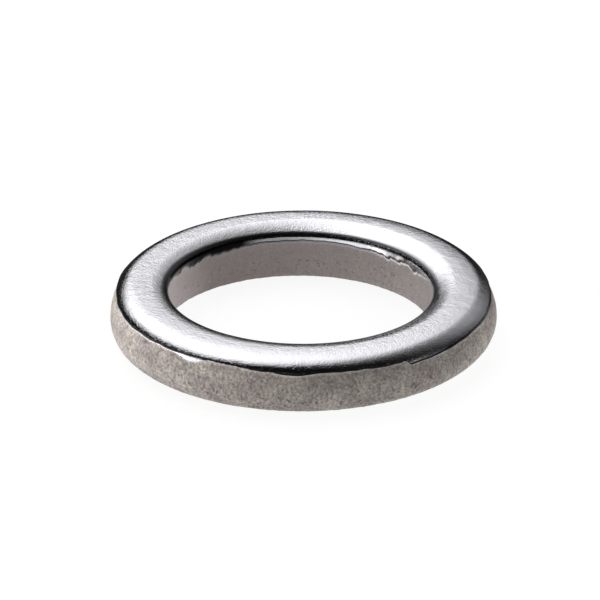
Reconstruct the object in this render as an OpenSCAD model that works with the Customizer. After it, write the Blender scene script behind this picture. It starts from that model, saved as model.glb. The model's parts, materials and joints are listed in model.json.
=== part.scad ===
// Thick flat washer with a small outside diameter, punched from plate and tumbled.
// It is one piece of metal. The die has rolled its top edges over, so they are well rounded,
// the outer bottom edge is rounded less, and the bore leaves the bottom face almost sharp.
// Units are millimetres. The origin is the centre of the bottom face, and +Z is the bore axis.

/* [Ring] */
// Outside diameter
outer_d = 24.5; // [23:0.1:28]
// Diameter of the bore's straight wall
bore_d = 17; // [15:0.1:17.5]
// Thickness from the bottom face to the top face
thickness = 3.5; // [3:0.1:4.5]

/* [Edges] */
// Radius between the top face and the outer wall
outer_top_r = 1.6; // [0.8:0.1:1.7]
// Radius between the outer wall and the bottom face
outer_bottom_r = 1.2; // [0.4:0.1:1.2]
// Radius between the top face and the bore
bore_top_r = 0.6; // [0.2:0.1:0.8]
// Radius between the bore and the bottom face
bore_bottom_r = 0.1; // [0.05:0.05:0.3]

/* [Hidden] */
$fn = 180;
outer_r = outer_d / 2;
bore_r = bore_d / 2;
// How far the waste of a rounded corner reaches past the corner, so that it cuts cleanly
overcut = 0.5;

// What rounding off a square corner takes away. The corner is at the origin, and the metal
// lies towards -X and -Y of it.
module corner_waste(edge_r) {
    difference() {
        translate([-edge_r, -edge_r]) square(edge_r + overcut);
        translate([-edge_r, -edge_r]) circle(r = edge_r);
    }
}

// Half of the ring's cross-section: X is the distance from the bore axis and Y is the height.
module ring_section() {
    difference() {
        translate([bore_r, 0]) square([outer_r - bore_r, thickness]);
        translate([outer_r, thickness]) corner_waste(outer_top_r);
        translate([outer_r, 0]) mirror([0, 1]) corner_waste(outer_bottom_r);
        translate([bore_r, thickness]) mirror([1, 0]) corner_waste(bore_top_r);
        translate([bore_r, 0]) rotate(180) corner_waste(bore_bottom_r);
    }
}

module washer() {
    color("silver") rotate_extrude() ring_section();
}

washer();
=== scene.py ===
import json
import math
from functools import reduce

import bpy
import numpy as np
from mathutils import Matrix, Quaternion, Vector, noise


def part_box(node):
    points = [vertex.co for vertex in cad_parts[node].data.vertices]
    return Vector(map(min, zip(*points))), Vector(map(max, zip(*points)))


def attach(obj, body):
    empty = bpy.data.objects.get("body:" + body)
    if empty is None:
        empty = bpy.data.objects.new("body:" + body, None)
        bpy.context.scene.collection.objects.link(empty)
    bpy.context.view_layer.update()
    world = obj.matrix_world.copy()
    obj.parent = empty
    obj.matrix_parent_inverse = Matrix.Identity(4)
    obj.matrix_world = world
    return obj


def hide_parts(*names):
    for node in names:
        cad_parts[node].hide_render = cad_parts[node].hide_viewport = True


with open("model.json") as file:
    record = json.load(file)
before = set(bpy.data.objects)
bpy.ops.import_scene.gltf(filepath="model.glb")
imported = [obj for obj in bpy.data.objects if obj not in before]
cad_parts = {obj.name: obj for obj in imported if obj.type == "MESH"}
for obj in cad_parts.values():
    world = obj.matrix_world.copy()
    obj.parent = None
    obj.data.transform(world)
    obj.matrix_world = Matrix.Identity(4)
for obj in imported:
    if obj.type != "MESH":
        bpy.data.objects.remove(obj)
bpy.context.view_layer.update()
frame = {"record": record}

MM = 0.001

# ---------------------------------------------------------------- sizes, in mm and degrees
high_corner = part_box("washer")[1]
OUTER_R = high_corner[0] / MM
THICKNESS = high_corner[2] / MM
bore = next(m for m in frame["record"]["mounts"] if m["name"] == "bore")
BORE_R = bore["dims"]["r_mm"]

# Azimuths run from +X, which is the right of the view, and 90 is its far side.
# A noise round the ring is (bumps per turn, seed, size), and a mark is (azimuth, half width, size).
# Each rounded edge is a quarter of an ellipse: (radial half axis, axial half axis)
OUTER_ROLL = (1.42, 1.72)
OUTER_FOOT = (1.10, 1.28)
BORE_FOOT = (0.12, 0.12)
BORE_ROLL = (0.50, 0.25)     # radius of the roll at the bore: the mean, and how much more far off
CORNER_SLOPE = 60            # slope at which that roll is cut off by the bore
BORE_SHIFT = (0.355, 0.155)  # how far the bore is off centre, to the left, at its bottom and top
TORN_OUT = (0.02, 0.03)      # how much wider the torn wall in it is, at its bottom and its top

DISH_DEPTH = 0.22            # how far the top face dips towards the bore, in the mean
DISH_LEAN = 0.17             # how much further it dips on its heavy side
HEAVY_SIDE = 40              # azimuth of that side
DISH_WIDTH = (0.75, 1.2)     # a fixed part, and how much wider it is for its depth
DISH_POWER = 1.6             # 1 for a straight cone, 2 for a round dish

CREST = 0.47                 # where the domed top is highest, from the bore roll to the outer one
CREST_SHIFT = (0.25, 0.2)    # how much further out that is on the left, and on the far side
INNER_SLOPE = 7              # slope of the dome where the dish begins
OUTER_SLOPE = 8              # the same at the outer roll

# The lower edge of the bright skin, outside
SKIN_DEPTH = 0.56            # how far below the top face it is, but for the marks below
SKIN_NOISE = ((34, 1, 0.035), (110, 2, 0.035), (9, 3, 0.03))
SKIN_MARKS = ((243, 22, -0.10), (268, 9, 0.09), (180, 25, -0.08), (350, 26, 0.16))  # deeper
DRAG = (302.6, 304.2)        # azimuths between which the skin steps down, where the punch dragged it
DRAG_FADE = (306, 362)       # azimuths between which it comes up again
DRAG_DEPTH = 0.26
DARK_EDGE = 0.07             # height of the skin's undercut edge, painted dark as its shade
DARK_EDGE_MARK = (352, 40, 0.1)
BURR = 0.07                  # height of the bright burr under it
BURR_NOISE = (60, 6, 0.7)    # its size is a share of the burr's height
BURR_FLAKE = (233, 7, 0.3)   # where a flake of it hangs down
BURR_GAP = ((301, 302.6), (308, 330))  # azimuths between which it shrinks, and comes back
BURR_LOST = 0.8              # how much of it is lost there
BURR_BULGE = 0.05
EDGE_STEPS = (0.02, 0.03)    # how far the dark edge's foot and the burr stand out from the skin

# The lip in the bore
LIP = (0.13, 0.17)           # how far it stands into the bore, and its height
LIP_NOISE = ((60, 4, 0.04), (170, 5, 0.03))
LIP_MARK = (62, 12, 0.09)
TONGUES = ((141, 40, 0.34), (38, 28, 0.40))  # where tongues of skin hang down from it
TONGUE_MEAN = 0.35           # how much of their length is filled, before the noise
TONGUE_NOISE = ((85, 11, 1.3), (230, 12, 0.5))
UNDERCUT = 0.02              # how far the band below it, painted dark as shade in its undercut, stands into the bore
PAINTED_RIM_WIDTH = (0.28, 0.20)      # width of the dark line above it, a painted dark reflection: the mean, and how much less far off
RIM_CONTRAST = 1.3           # 1 for a line that fades all the way, and more for a firmer one
RIM_SLOPE = 50               # slope of the roll at which that line ends
RIM_BLUR = 0.15              # the change of slope over which it fades there, in radians
RIM_PAINTED_DARK = 0.9
# Chips cut the dark band under the lip deeper. In part of them, in a patch and in two marks, the lip
# and the roll above it are painted dark as shade
CHIPS = (38, 30, 1.0)
CHIPS_DEPTH = 0.12
CHIP_SHADE_MEAN = 0.6             # how much of the chipped stretch is painted dark as shade, before the noise
CHIP_SHADE_NOISE = (60, 13, 1.5)
SHADE_PATCH = (141, 44, 2.5)
LIP_SHADE_MARKS = ((96, 26, 0.45), (30, 34, 1.0))
SHADE_MARK_FADE = 0.4              # the change of slope over which the painted shade of those marks ends on the roll, in radians

# How uneven the surface is: (bumps per mm, seed, height), and how far it is sunk to make room
SKIN_WAVE = (((0.5, 8, 0.004),), 0.004)
TORN_WAVE = (((2.2, 9, 0.018), (5.5, 10, 0.012)), 0.02)

# Steps across each stretch of the section: few enough for under 200,000 triangles in all
AZIMUTH_STEPS = 960
STEPS = {"dish": 10, "dome": 10, "outer_roll": 18, "skin_edge": 3, "burr": 4, "outer_wall": 12,
         "outer_foot": 10, "bottom": 6, "bore_foot": 4, "bore_wall": 9, "band": 2, "lip": 4,
         "bore_roll": 12}


# ---------------------------------------------------------------- noise and marks round the ring
def ring_noise(azimuth, cycles, seed):
    """Smooth noise round the ring, with about that many bumps per turn, from -1 to 1."""
    reach = cycles / (2 * math.pi)
    points = np.stack([np.cos(azimuth) * reach, np.sin(azimuth) * reach], axis=-1)
    return np.array([noise.noise((x + seed * 17.3, y - seed * 9.1, seed * 5.7)) for x, y in points])


def space_noise(points, per_mm, seed):
    """Smooth noise at points in mm, with per_mm bumps to the millimetre."""
    shift = np.array([seed * 13.7, seed * -7.9, seed * 3.3])
    return np.array([noise.noise(p) for p in points * per_mm + shift])


def bump(azimuth, centre_deg, half_width_deg, size):
    """The size at the centre, falling smoothly to 0 at the half width."""
    gap = np.degrees(np.angle(np.exp(1j * (azimuth - math.radians(centre_deg)))))
    t = np.clip(1 - np.abs(gap) / half_width_deg, 0, 1)
    return size * (t * t * (3 - 2 * t))


def step(azimuth, start_deg, end_deg):
    """0 before the start, rising smoothly to 1 at the end."""
    t = np.clip((np.degrees(azimuth) - start_deg) / (end_deg - start_deg), 0, 1)
    return t * t * (3 - 2 * t)


def uneven(azimuth, noises=(), marks=()):
    """Sum of noises and marks."""
    total = sum(size * ring_noise(azimuth, cycles, seed) for cycles, seed, size in noises)
    return total + sum(bump(azimuth, *mark) for mark in marks)


def skin_depth(azimuth):
    """Depth of the bright skin's lower edge round the outside."""
    dragged = step(azimuth, *DRAG) * (1 - step(azimuth, *DRAG_FADE))
    return SKIN_DEPTH + uneven(azimuth, SKIN_NOISE, SKIN_MARKS) + DRAG_DEPTH * dragged


def burr_height(azimuth):
    burr = BURR * (1 + uneven(azimuth, (BURR_NOISE,))) + bump(azimuth, *BURR_FLAKE)
    lost = step(azimuth, *BURR_GAP[0]) * (1 - step(azimuth, *BURR_GAP[1]))
    return burr * (1 - BURR_LOST * lost)


def lip_height(azimuth):
    """Height of the lip in the bore, where tongues of skin hang down in two places."""
    height = LIP[1] + uneven(azimuth, LIP_NOISE, (LIP_MARK,))
    filled = np.clip(TONGUE_MEAN + uneven(azimuth, TONGUE_NOISE), 0, 1)
    return height + filled * uneven(azimuth, marks=TONGUES)


# ---------------------------------------------------------------- the ring's mesh
def shares(stretch):
    """Shares of a stretch of the section, from 0, leaving out 1."""
    return np.linspace(0, 1, STEPS[stretch], endpoint=False)


def spread(start, end, stretch):
    """Steps from start to end, leaving out end, for arrays of starts and ends."""
    return start[:, None] + (end - start)[:, None] * shares(stretch)


def roll_start(roll, slope_deg):
    """Angle on a roll's ellipse, from the wall, at which its surface slopes by slope_deg."""
    return math.atan2(roll[1], roll[0] * math.tan(math.radians(slope_deg)))


def dome_drop(distance, whole_distance, slope_deg):
    """How far the domed top falls at a distance from its crest, to reach the slope at the end."""
    t = np.maximum(distance, 0) / whole_distance
    return whole_distance * math.tan(math.radians(slope_deg)) * t ** 3 / 3


class Section:
    """The ring's cross-section at each azimuth, as points that run once round it."""

    def __init__(self, azimuth):
        self.azimuth = azimuth
        self.whole = np.ones_like(azimuth)
        self.rows = []
        self.place_top()
        self.add_top()
        self.add_outer_roll()
        self.add_skin_edge()
        self.add_outer_wall()
        self.add_underside()
        self.place_lip()
        self.add_bore_wall()
        self.add_lip()
        self.add_bore_roll()

    def add(self, radius, height, torn, dark=0.0):
        """Points with their radius, height, tearing (0 bright, 1 torn) and painted shade: darkness
        painted into their colour.
        """
        self.rows.append((radius, height, np.full_like(radius, torn), radius * 0 + dark))

    def points(self):
        return tuple(np.concatenate(part, axis=1) for part in zip(*self.rows))

    def place_top(self):
        """Where the dish, the dome's crest and the two rolls meet the top face."""
        azimuth = self.azimuth
        heavy = np.cos(azimuth - math.radians(HEAVY_SIDE))
        self.roll = BORE_ROLL[0] + BORE_ROLL[1] * np.sin(azimuth)
        self.dish = DISH_DEPTH + DISH_LEAN * heavy
        self.width = DISH_WIDTH[0] + DISH_WIDTH[1] * self.dish
        dish_slope = DISH_POWER * self.dish / self.width
        self.start_slope = np.arctan(math.tan(math.radians(INNER_SLOPE)) + dish_slope)
        self.corner = math.radians(CORNER_SLOPE)
        self.lip_r = BORE_R - LIP[0]
        self.inside = self.lip_r + self.roll * (math.sin(self.corner) - np.sin(self.start_slope))
        self.outer_start = roll_start(OUTER_ROLL, OUTER_SLOPE)
        self.outside = OUTER_R - OUTER_ROLL[0] * (1 - math.cos(self.outer_start))
        share = CREST - CREST_SHIFT[0] * np.cos(azimuth) + CREST_SHIFT[1] * np.sin(azimuth)
        self.crest = self.inside + (self.outside - self.inside) * share
        self.inner_half = (self.crest - self.inside)[:, None]
        self.outer_half = (self.outside - self.crest)[:, None]

    def add_top(self):
        """From the bore roll up the dish, and over the dome's crest to the outer roll."""
        crest, inside = self.crest[:, None], self.inside[:, None]
        foot = self.inside + self.width
        radius = np.concatenate([spread(self.inside, foot, "dish"),
                                 spread(foot, self.outside * self.whole, "dome")], axis=1)
        drop = np.where(radius < crest,
                        dome_drop(crest - radius, self.inner_half, INNER_SLOPE),
                        dome_drop(radius - crest, self.outer_half, OUTER_SLOPE))
        within = np.clip(1 - (radius - inside) / self.width[:, None], 0, 1)
        dip = within ** DISH_POWER * self.dish[:, None]
        # The top face next to the bore is painted dark, a painted reflection of darkness
        rim = (PAINTED_RIM_WIDTH[0] - PAINTED_RIM_WIDTH[1] * np.sin(self.azimuth))[:, None]
        dark = np.clip(RIM_CONTRAST - RIM_CONTRAST * (radius - inside) / rim, 0, 1)
        self.add(radius, THICKNESS - drop - dip, 0, RIM_PAINTED_DARK * dark)

    def add_outer_roll(self):
        """Down to the dark edge of the bright skin."""
        dome = dome_drop(self.outer_half, self.outer_half, OUTER_SLOPE)[:, 0]
        top = THICKNESS - dome + OUTER_ROLL[1] * (1 - math.sin(self.outer_start))
        depth = skin_depth(self.azimuth)
        self.dark_edge = DARK_EDGE + bump(self.azimuth, *DARK_EDGE_MARK)
        end = np.arcsin(1 - (depth - self.dark_edge) / OUTER_ROLL[1])
        angle = spread(self.whole * self.outer_start, end, "outer_roll")
        self.add(OUTER_R - OUTER_ROLL[0] * (1 - np.cos(angle)),
                 top[:, None] - OUTER_ROLL[1] * (1 - np.sin(angle)), 0)
        self.edge_r = OUTER_R - OUTER_ROLL[0] * (1 - np.cos(end))
        self.edge_z = top - depth

    def add_skin_edge(self):
        """The skin's edge, painted dark as shade in its undercut, and the bright burr under it."""
        edge_r, edge_z = self.edge_r[:, None], self.edge_z[:, None]
        t = shares("skin_edge")
        self.add(edge_r + EDGE_STEPS[0] * t, edge_z + self.dark_edge[:, None] * (1 - t), 0, 1)
        burr = burr_height(self.azimuth)
        t = shares("burr")
        self.add(edge_r + EDGE_STEPS[1] + BURR_BULGE * np.sin(math.pi * t),
                 edge_z - burr[:, None] * t, 0)
        self.torn_top = self.edge_z - burr

    def add_outer_wall(self):
        """The torn wall, which swells to the full radius, and its foot."""
        t = shares("outer_wall")
        top = self.torn_top[:, None]
        start_r = (self.edge_r + EDGE_STEPS[0])[:, None]
        self.add(OUTER_R - (OUTER_R - start_r) * (1 - t) ** 2,
                 top + (OUTER_FOOT[1] - top) * t, 1)
        angle = math.pi / 2 * shares("outer_foot")
        self.add(np.outer(self.whole, OUTER_R - OUTER_FOOT[0] * (1 - np.cos(angle))),
                 np.outer(self.whole, OUTER_FOOT[1] * (1 - np.sin(angle))), 1)

    def add_underside(self):
        """The bottom face, and the bore's bottom edge."""
        self.bottom_r = BORE_R + TORN_OUT[0]
        t = shares("bottom")
        radius = (OUTER_R - OUTER_FOOT[0]) * (1 - t) + (self.bottom_r + BORE_FOOT[0]) * t
        self.add(np.outer(self.whole, radius), np.outer(self.whole, t * 0), 0)
        angle = math.pi / 2 * (1 - shares("bore_foot"))
        self.add(np.outer(self.whole, self.bottom_r + BORE_FOOT[0] * (1 - np.cos(angle))),
                 np.outer(self.whole, BORE_FOOT[1] * (1 - np.sin(angle))), 1)

    def place_lip(self):
        """Heights of the lip's corner, its lower edge and the dark band, and where the lip is
        painted dark as shade.
        """
        dome = dome_drop(self.inner_half, self.inner_half, INNER_SLOPE)[:, 0]
        roll_height = self.roll * (np.cos(self.start_slope) - math.cos(self.corner))
        chips = bump(self.azimuth, *CHIPS)
        self.corner_z = THICKNESS - dome - self.dish - roll_height
        self.break_z = self.corner_z - lip_height(self.azimuth)
        self.under_z = self.break_z - DARK_EDGE - CHIPS_DEPTH * chips
        shade_patch = np.clip(bump(self.azimuth, *SHADE_PATCH), 0, 1)
        chip_shade = chips * np.clip(CHIP_SHADE_MEAN + uneven(self.azimuth, (CHIP_SHADE_NOISE,)), 0, 1)
        self.ragged_shade = np.maximum(shade_patch, chip_shade)[:, None]

    def add_bore_wall(self):
        """The torn wall, and the band under the lip, painted dark as shade."""
        height = spread(self.whole * BORE_FOOT[1], self.under_z, "bore_wall")
        rise = (height - BORE_FOOT[1]) / (self.under_z - BORE_FOOT[1])[:, None]
        self.add(self.bottom_r - (TORN_OUT[0] - TORN_OUT[1]) * rise, height, 1)
        height = spread(self.under_z, self.break_z, "band")
        self.add(height * 0 + BORE_R - UNDERCUT, height, 0, 1)

    def add_lip(self):
        """The lip's upright face, painted dark as shade in places."""
        lip_shade = uneven(self.azimuth, marks=LIP_SHADE_MARKS)
        height = spread(self.break_z, self.corner_z, "lip")
        self.add(height * 0 + self.lip_r, height, 0, np.maximum(self.ragged_shade, lip_shade[:, None]))

    def add_bore_roll(self):
        """From the lip's corner over the roll, to where the top face begins."""
        roll, start_slope = self.roll[:, None], self.start_slope[:, None]
        slope = spread(self.corner * self.whole, self.start_slope, "bore_roll")
        # The roll is painted dark down to a slope, a painted dark reflection that joins the line on
        # the top face
        rim = RIM_PAINTED_DARK * np.clip((math.radians(RIM_SLOPE) - slope) / RIM_BLUR, 0, 1)
        # Painted shade from the lip's marks reaches up the roll and fades out
        ragged_shade = self.ragged_shade * np.clip((slope - start_slope) / SHADE_MARK_FADE, 0, 1)
        self.add(self.lip_r + roll * (math.sin(self.corner) - np.sin(slope)),
                 self.corner_z[:, None] + roll * (np.cos(slope) - math.cos(self.corner)), 0,
                 np.maximum(rim, ragged_shade))


def section_normals(radius, height):
    """Outward direction of each section point, as radial and axial parts."""
    along_r = np.roll(radius, -1, axis=1) - np.roll(radius, 1, axis=1)
    along_z = np.roll(height, -1, axis=1) - np.roll(height, 1, axis=1)
    length = np.hypot(along_r, along_z)
    return -along_z / length, along_r / length


def wave(points, noises, sunk):
    return sum(size * space_noise(points, per_mm, seed) for per_mm, seed, size in noises) - sunk


def surface_wave(points, torn):
    """How far each point moves out, in mm: the torn walls are rougher than the bright skin."""
    skin_wave = wave(points, *SKIN_WAVE)
    torn_wave = wave(points, *TORN_WAVE)
    return np.where(torn > 0.5, torn_wave, skin_wave)[:, None]


def ring_points(azimuth, radius, height, torn):
    out_r, out_z = section_normals(radius, height)
    cos_a, sin_a = np.cos(azimuth)[:, None], np.sin(azimuth)[:, None]
    near_bore = np.clip((OUTER_R - radius) / (OUTER_R - BORE_R), 0, 1)
    shift = BORE_SHIFT[0] + (BORE_SHIFT[1] - BORE_SHIFT[0]) * height / THICKNESS
    x = radius * cos_a - near_bore * shift
    points = np.stack([x, radius * sin_a, height], axis=-1).reshape(-1, 3)
    normals = np.stack([out_r * cos_a, out_r * sin_a, out_z], axis=-1).reshape(-1, 3)
    points = points + normals * surface_wave(points, torn)
    points[:, 2] = np.clip(points[:, 2], 0, THICKNESS)
    return points


def ring_faces(across):
    """Quads that join each section to the next, with their normals outward."""
    i = np.arange(AZIMUTH_STEPS)[:, None] * across
    j = np.arange(across)[None, :]
    next_i = np.roll(i, -1, axis=0)
    next_j = np.roll(j, -1, axis=1)
    faces = np.stack([i + j, i + next_j, next_i + next_j, next_i + j], axis=-1)
    return faces.reshape(-1, 4)


def build_washer():
    azimuth = np.linspace(0, 2 * math.pi, AZIMUTH_STEPS, endpoint=False)
    radius, height, torn, dark = Section(azimuth).points()
    torn, dark = torn.reshape(-1), dark.reshape(-1)
    points = ring_points(azimuth, radius, height, torn)
    faces = ring_faces(radius.shape[1])

    mesh = bpy.data.meshes.new("washer_ring")
    mesh.from_pydata((points * MM).tolist(), [], faces.tolist())
    # The second attribute is painted shade: where shade and dark reflections are painted into the
    # colour
    for name, values in (("sheared", torn), ("darkened", dark)):
        mesh.attributes.new(name, "FLOAT", "POINT").data.foreach_set("value", values)
    mesh.polygons.foreach_set("use_smooth", [True] * len(mesh.polygons))
    mesh.update()
    ring = bpy.data.objects.new("washer_ring", mesh)
    bpy.context.scene.collection.objects.link(ring)
    return ring


# ---------------------------------------------------------------- materials
class Nodes:
    """A short way to write a node tree."""

    def __init__(self, tree):
        self.tree = tree
        tree.nodes.clear()

    def add(self, kind, inputs=(), **settings):
        node = self.tree.nodes.new(kind)
        for name, value in settings.items():
            setattr(node, name, value)
        for name, value in dict(inputs).items():
            if isinstance(value, bpy.types.NodeSocket):
                self.tree.links.new(value, node.inputs[name])
            else:
                node.inputs[name].default_value = value
        return node

    def math(self, operation, *values):
        return self.add("ShaderNodeMath", enumerate(values), operation=operation).outputs[0]

    def total(self, *values):
        return reduce(lambda first, second: self.math("ADD", first, second), values)

    def product(self, *values):
        return reduce(lambda first, second: self.math("MULTIPLY", first, second), values)

    def ramp(self, value, low, high, to_low=0.0, to_high=1.0, curve="SMOOTHSTEP"):
        inputs = {"Value": value, "From Min": low, "From Max": high,
                  "To Min": to_low, "To Max": to_high}
        return self.add("ShaderNodeMapRange", inputs, interpolation_type=curve).outputs[0]

    def ramp_linear(self, value, low, high, to_low, to_high):
        return self.ramp(value, low, high, to_low, to_high, "LINEAR")

    def mix(self, factor, first, second, blend="MIX"):
        inputs = {0: factor, 6: first, 7: second}
        node = self.add("ShaderNodeMix", inputs, data_type="RGBA", blend_type=blend)
        return node.outputs[2]

    def blend(self, factor, first, second):
        node = self.add("ShaderNodeMix", {0: factor, 2: first, 3: second}, data_type="FLOAT")
        return node.outputs[0]

    def noise(self, where, scale, detail, roughness=0.5):
        inputs = {"Vector": where, "Scale": scale, "Detail": detail, "Roughness": roughness}
        return self.add("ShaderNodeTexNoise", inputs).outputs["Fac"]


SKIN_COLOURS = ((0.76, 0.75, 0.80, 1), (0.89, 0.88, 0.91, 1))
TORN_COLOURS = ((0.35, 0.305, 0.288, 1), (0.45, 0.412, 0.37, 1))
PIT_COLOUR = (0.09, 0.075, 0.07, 1)
# Colours of the bore's wall: painted shade, painted light on its left, and deeper painted shade on
# its right
BORE_SHADE_COLOUR = (0.33, 0.285, 0.275, 1)
BORE_LEFT_LIGHT_COLOUR = (0.60, 0.54, 0.53, 1)
BORE_RIGHT_SHADE_COLOUR = (0.27, 0.235, 0.225, 1)
# Near-black colour painted on for shade and dark reflections, and its roughness
PAINTED_SHADE_COLOUR = (0.015, 0.013, 0.013, 1)
PAINTED_SHADE_ROUGHNESS = 0.2
TORN_METALLIC = 0.4
RELIEF = 0.00006

# Where the walls change in colour, mostly by painted light and shade, in metres: noise scales below
# are in bumps per metre
PAINTED_FOOT_SHADE_BAND = (0.0, 0.0011)            # heights between which the painted shade of the foot ends
PAINTED_TOP_LIGHT_BAND = (0.0018, 0.0026)          # heights between which the top's painted light begins
PAINTED_SIDE_LIGHT_BAND = (0.0095, 0.0122)         # distances to the left or right at which painted light makes it lighter
PAINTED_LEFT_LIGHT_BAND = (-0.008, 0.004)          # X from left to middle, over which painted light on the left turns to slight painted shade
PIT_BAND = (0.0012, 0.0018)          # heights between which the pits grow rare
BORE_REACH = (0.0090, 0.0094)        # distances from the axis, from the bore to the outer wall
BORE_LEFT_LIGHT_BAND = (-0.0086, -0.0052)  # X between which its painted light on the left ends
BORE_RIGHT_SHADE_BAND = (0.002, 0.007)     # X between which its painted shade on the right begins


def bright_skin(n, where):
    """Colour, roughness and height of the skin: cool, faintly clouded, with fine flecks."""
    clouds = n.noise(where, 900, detail=3)
    flecks = n.noise(where, 9000, detail=2, roughness=0.6)
    ripple = n.noise(where, 1700, detail=5, roughness=0.6)
    rough = n.total(n.ramp(clouds, 0.3, 0.75, 0.07, 0.12), n.ramp(flecks, 0.6, 0.8, 0, 0.12))
    height = n.total(n.product(ripple, 0.35), n.product(flecks, 0.32))
    return n.mix(clouds, *SKIN_COLOURS), rough, height


def mottle_and_painted_light(n, mottle, x, z):
    """Mottling, with painted shade at the foot, and painted light at both sides and at the top on
    the left.
    """
    painted_side_light = n.ramp(n.math("ABSOLUTE", x), *PAINTED_SIDE_LIGHT_BAND, 1.0, 1.5)
    painted_top_light = n.ramp(z, *PAINTED_TOP_LIGHT_BAND, 1.0, 1.5)
    return n.product(n.ramp(mottle, 0.34, 0.66, 0.5, 1.4), n.ramp(z, *PAINTED_FOOT_SHADE_BAND, 0.72, 1.0),
                     painted_side_light, n.ramp(x, *PAINTED_LEFT_LIGHT_BAND, painted_top_light, 0.92))


def in_bore(n, x, y):
    """1 on the bore's wall and 0 on the outer one."""
    flat = n.add("ShaderNodeCombineXYZ", {0: x, 1: y}).outputs[0]
    axis_gap = n.add("ShaderNodeVectorMath", {0: flat}, operation="LENGTH").outputs["Value"]
    return n.ramp(axis_gap, *BORE_REACH, 1, 0)


def torn_wall(n, where):
    """The same for the torn walls: warm and matte, mottled, drawn out upright, and pitted, with
    painted light and shade on them and in the bore.
    """
    x, y, z = n.add("ShaderNodeSeparateXYZ", {0: where}).outputs
    upright = n.add("ShaderNodeCombineXYZ", {0: x, 1: y, 2: n.product(z, 0.55)}).outputs[0]
    streaks = n.noise(upright, 5200, detail=4, roughness=0.65)
    grain = n.noise(where, 6500, detail=4, roughness=0.7)
    patches = n.noise(where, 620, detail=3)
    mottle = n.total(n.product(streaks, 0.35), n.product(grain, 0.65))
    pits = n.product(n.ramp(n.noise(where, 3600, detail=3), 0.58, 0.68),
                     n.ramp(z, *PIT_BAND, 1, 0.2))

    colour = n.mix(n.ramp(patches, 0.35, 0.65), *TORN_COLOURS)
    # Painted light and shade are multiplied into the wall's colour here, along with its mottling
    colour = n.mix(1.0, colour, mottle_and_painted_light(n, mottle, x, z), "MULTIPLY")
    colour = n.mix(n.product(pits, 0.7), colour, PIT_COLOUR)
    # In the bore, painted shade darkens the wall, painted light lightens it on the left, and more
    # painted shade darkens it on the right
    bore_painted_colour = n.mix(n.ramp(x, *BORE_LEFT_LIGHT_BAND), BORE_LEFT_LIGHT_COLOUR, BORE_SHADE_COLOUR)
    bore_painted_colour = n.mix(n.ramp(x, *BORE_RIGHT_SHADE_BAND), bore_painted_colour, BORE_RIGHT_SHADE_COLOUR)
    colour = n.mix(n.product(in_bore(n, x, y), 0.85), colour, bore_painted_colour)
    rough = n.ramp(mottle, 0.3, 0.7, 0.62, 0.5)
    return colour, rough, n.math("SUBTRACT", mottle, n.product(pits, 0.4))


def washer_material():
    material = bpy.data.materials.new("washer_metal")
    material.use_nodes = True
    n = Nodes(material.node_tree)
    where = n.add("ShaderNodeTexCoord").outputs["Object"]
    torn = n.add("ShaderNodeAttribute", attribute_name="sheared").outputs["Fac"]
    dark = n.add("ShaderNodeAttribute", attribute_name="darkened").outputs["Fac"]
    skin_colour, skin_rough, skin_height = bright_skin(n, where)
    torn_colour, torn_rough, torn_height = torn_wall(n, where)

    # Painted shade: where the mesh asks for it, shade and dark reflections are painted on in
    # near-black
    colour = n.mix(dark, n.mix(torn, skin_colour, torn_colour), PAINTED_SHADE_COLOUR)
    rough = n.blend(dark, n.blend(torn, skin_rough, torn_rough), PAINTED_SHADE_ROUGHNESS)
    height = n.blend(torn, skin_height, torn_height)
    relief = n.add("ShaderNodeBump", {"Height": height, "Distance": RELIEF, "Strength": 1.0})
    shader = n.add("ShaderNodeBsdfPrincipled", {
        "Base Color": colour,
        "Roughness": rough,
        "Normal": relief.outputs[0],
        "Metallic": n.blend(torn, 1.0, TORN_METALLIC)})
    n.add("ShaderNodeOutputMaterial", {"Surface": shader.outputs[0]})
    return material


# ---------------------------------------------------------------- the studio
def direction(azimuth_deg, elevation_deg):
    """Unit vector. Azimuth 0 is +Y, away from the camera, and 90 is +X."""
    a, e = math.radians(azimuth_deg), math.radians(elevation_deg)
    return (math.sin(a) * math.cos(e), math.cos(a) * math.cos(e), math.sin(e))


def cap(n, towards, where, radius_deg, soft_deg):
    """1 within radius_deg of a direction, falling to 0 over soft_deg either side of it."""
    node = n.add("ShaderNodeVectorMath", {0: towards, 1: where}, operation="DOT_PRODUCT")
    outer = math.cos(math.radians(min(radius_deg + soft_deg, 180)))
    inner = math.cos(math.radians(max(radius_deg - soft_deg, 0)))
    return n.ramp(node.outputs["Value"], outer, inner)


# The softbox hangs overhead and to the far left. Its edges are given on a plane at a height of 1
# above the washer: across is to the right of the washer, away is beyond it.
SOFTBOX_LIGHT = 1.65
LEFT_EDGE = (-0.80, -0.48)       # where the left edge is at away = 0, and how it shifts with away
NEAR_EDGE = (-0.045, -0.13)      # where the near edge is at across = 0, and its shift with across
LEFT_BLUR = 0.045
NEAR_BLUR = (0.105, 0.35, 1.94)  # beyond the near edge, how much more inside it, and for across
RIGHT_FADE = (-0.6, 0.7)         # across
LEFT_DIM = (-0.66, -0.16, 0.70)  # across, and how much of the light is left at the first
FAR_FADE = (0.27, 0.46)          # sine of the elevation, where the light ends low down
SIDE_LIGHT = (0.3, 0.9)          # light on matte metal from the left and from the right
SPILL_LIGHT = 0.36               # softer light that the softbox throws on the wall behind it
SPILL_AWAY = (-0.36, 1.8)        # where that begins and is whole, away
SPILL_LEFT = (-0.72, -0.52)      # its left edge, as an azimuth in radians
SPILL_RIGHT = (0.54, 2.4)        # its right edge, across
RIGHT_GLOW = 0.2                 # faint light low on the far right
GLOW_SIDES = ((0.3, 0.6), (0.75, 1.3))       # its left and right edges, as azimuths in radians
GLOW_HEIGHTS = ((-0.02, 0.12), (0.25, 0.7))  # its lower and upper edges, as sines of elevation
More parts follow.
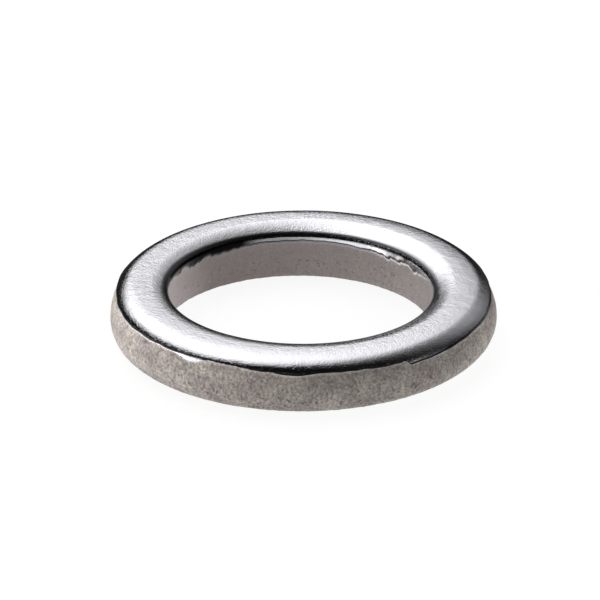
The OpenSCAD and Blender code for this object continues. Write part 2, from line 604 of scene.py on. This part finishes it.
LOW_LEFT = ((-84, -12), 24, 8)   # a lit patch low on the left: its direction, radius and blur
LOW_LEFT_LIGHT = 2.2
DARK_GAP = 0.98                  # how much of the floor's light is missing straight ahead
HORIZON = (-0.06, 0.0)           # sine of the elevation, from the floor to what stands on it
CARD_LIGHT = (0.7, 0.35)         # a weaker reflector low behind the camera: its left and right
CARD_TOP = (0.36, 0.56)          # sine of the elevation
ROOM_LIGHT = 0.004


def softbox_light(n, across, away, z):
    left_shift = n.product(n.ramp_linear(away, -1, 4, -1, 4), LEFT_EDGE[1])
    past_left = n.math("SUBTRACT", across, n.total(left_shift, LEFT_EDGE[0]))
    near_shift = n.product(n.ramp_linear(across, -2, 1, -2, 1), NEAR_EDGE[1])
    past_near = n.math("SUBTRACT", away, n.total(near_shift, NEAR_EDGE[0]))
    more_blur = n.math("MULTIPLY_ADD", across, NEAR_BLUR[2], NEAR_BLUR[1])
    near_blur = n.total(n.math("MAXIMUM", more_blur, 0.0), NEAR_BLUR[0])
    return n.product(n.ramp(past_left, -LEFT_BLUR, LEFT_BLUR),
                     n.ramp(past_near, -NEAR_BLUR[0], near_blur),
                     n.ramp(across, *RIGHT_FADE, 1, 0),
                     n.ramp(across, *LEFT_DIM, 1),
                     n.ramp(z, *FAR_FADE, 0, SOFTBOX_LIGHT))


def spill_light(n, across, away, azimuth, z):
    return n.product(n.ramp(z, *FAR_FADE), n.ramp(away, *SPILL_AWAY, 0, SPILL_LIGHT),
                     n.ramp(azimuth, *SPILL_LEFT), n.ramp(across, *SPILL_RIGHT, 1, 0))


def glow_light(n, azimuth, z):
    return n.product(n.ramp(z, *GLOW_HEIGHTS[0]), n.ramp(z, *GLOW_HEIGHTS[1], 1, 0),
                     n.ramp(azimuth, *GLOW_SIDES[0], 0, RIGHT_GLOW),
                     n.ramp(azimuth, *GLOW_SIDES[1], 1, 0))


def floor_light(n, x, y, z):
    """The floor as the skin reflects it: brighter on the left and far off, with a dark gap ahead."""
    light = n.total(n.ramp_linear(x, -1, 1, 1.2, 0.15), n.ramp(y, 0.1, 0.6, 0, 0.7))
    straight = n.product(n.ramp(y, 0.76, 0.86), n.ramp(z, -0.75, -0.55, 0.45, 1))
    horizon = n.product(n.ramp(y, 0.4, 0.6), n.ramp(z, -0.34, -0.22))
    gap = n.product(n.math("MAXIMUM", straight, horizon), DARK_GAP)
    return n.product(n.ramp(z, *HORIZON, 1, 0), light, n.math("SUBTRACT", 1.0, gap))


def card_light(n, x, y, z):
    return n.product(n.ramp(z, *CARD_TOP, 1, 0), n.ramp(z, *HORIZON, 0, 1),
                     n.ramp(y, -0.3, 0.1, 1, 0), n.ramp_linear(x, -1, 1, *CARD_LIGHT))


def side_light(n, x):
    return n.total(n.ramp(x, -0.95, -0.45, SIDE_LIGHT[0], 0),
                   n.ramp(x, 0.45, 0.95, 0, SIDE_LIGHT[1]))


def build_world():
    """The camera sees plain white. Everything else sees the studio."""
    world = bpy.data.worlds.new("studio")
    bpy.context.scene.world = world
    world.use_nodes = True
    n = Nodes(world.node_tree)
    towards = n.add("ShaderNodeTexCoord").outputs["Generated"]
    x, y, z = n.add("ShaderNodeSeparateXYZ", {0: towards}).outputs
    height = n.math("MAXIMUM", z, 0.03)
    across = n.math("DIVIDE", x, height)
    away = n.math("DIVIDE", y, height)
    azimuth = n.math("ARCTAN2", x, y)
    rays = n.add("ShaderNodeLightPath").outputs
    patch_direction, radius, blur = LOW_LEFT
    low_left = cap(n, towards, direction(*patch_direction), radius, blur)
    level = n.total(softbox_light(n, across, away, z),
                    spill_light(n, across, away, azimuth, z),
                    card_light(n, x, y, z),
                    glow_light(n, azimuth, z),
                    n.product(low_left, LOW_LEFT_LIGHT),
                    floor_light(n, x, y, z),
                    ROOM_LIGHT,
                    n.product(side_light(n, x), rays["Is Diffuse Ray"]))
    studio = n.add("ShaderNodeBackground", {"Color": (1, 1, 1, 1), "Strength": level})
    backdrop = n.add("ShaderNodeBackground", {"Color": (1, 1, 1, 1), "Strength": 1.0})
    mixed = n.add("ShaderNodeMixShader", {
        0: rays["Is Camera Ray"], 1: studio.outputs[0], 2: backdrop.outputs[0]})
    n.add("ShaderNodeOutputWorld", {"Surface": mixed.outputs[0]})


FLOOR_REACH = 120           # in outer radii
FLOOR_GAP = 0.00001         # how far the floor lies below the washer, in metres
FLOOR_GLOW = 0.88


def build_floor():
    mesh = bpy.data.meshes.new("studio_floor")
    reach = OUTER_R * MM * FLOOR_REACH
    corners = [(-reach, -reach, 0), (reach, -reach, 0), (reach, reach, 0), (-reach, reach, 0)]
    mesh.from_pydata(corners, [], [(0, 1, 2, 3)])
    floor = bpy.data.objects.new("studio_floor", mesh)
    bpy.context.scene.collection.objects.link(floor)
    material = bpy.data.materials.new("studio_floor")
    material.use_nodes = True
    n = Nodes(material.node_tree)
    shader = n.add("ShaderNodeBsdfPrincipled", {
        "Base Color": (0.3, 0.3, 0.3, 1),
        "Roughness": 0.9,
        "Specular IOR Level": 0.0,
        "Emission Color": (1, 1, 1, 1),
        "Emission Strength": FLOOR_GLOW})
    n.add("ShaderNodeOutputMaterial", {"Surface": shader.outputs[0]})
    floor.data.materials.append(material)
    floor.location.z = -FLOOR_GAP
    floor.visible_glossy = False


VIEW_ELEVATION = 25.26      # degrees above the floor
VIEW_ROLL = -0.21           # degrees, the camera's own tilt
CAMERA_DISTANCE = 76.8      # in outer radii, so the view is nearly parallel
FRAME_WIDTH = 3.102         # width of the frame at the washer, in outer radii
AIM = (-0.0188, 0.1752)     # right and up from the centre of the bottom face, in outer radii
SENSOR = 36


def build_camera():
    unit = OUTER_R * MM
    back = Vector(direction(180, VIEW_ELEVATION))
    rotation = (-back).to_track_quat("-Z", "Y") @ Quaternion((0, 0, 1), math.radians(VIEW_ROLL))
    right = rotation @ Vector((1, 0, 0))
    up = rotation @ Vector((0, 1, 0))
    camera = bpy.data.objects.new("camera", bpy.data.cameras.new("camera"))
    bpy.context.scene.collection.objects.link(camera)
    camera.data.sensor_width = SENSOR
    camera.data.lens = SENSOR * CAMERA_DISTANCE / FRAME_WIDTH
    camera.rotation_mode = "QUATERNION"
    camera.rotation_quaternion = rotation
    camera.location = unit * (right * AIM[0] + up * AIM[1] + back * CAMERA_DISTANCE)
    bpy.context.scene.camera = camera


scene = bpy.context.scene
scene.view_settings.view_transform = "Standard"
build_camera()
build_world()
build_floor()
ring = build_washer()
ring.data.materials.append(washer_material())
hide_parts("washer")
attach(ring, "root")
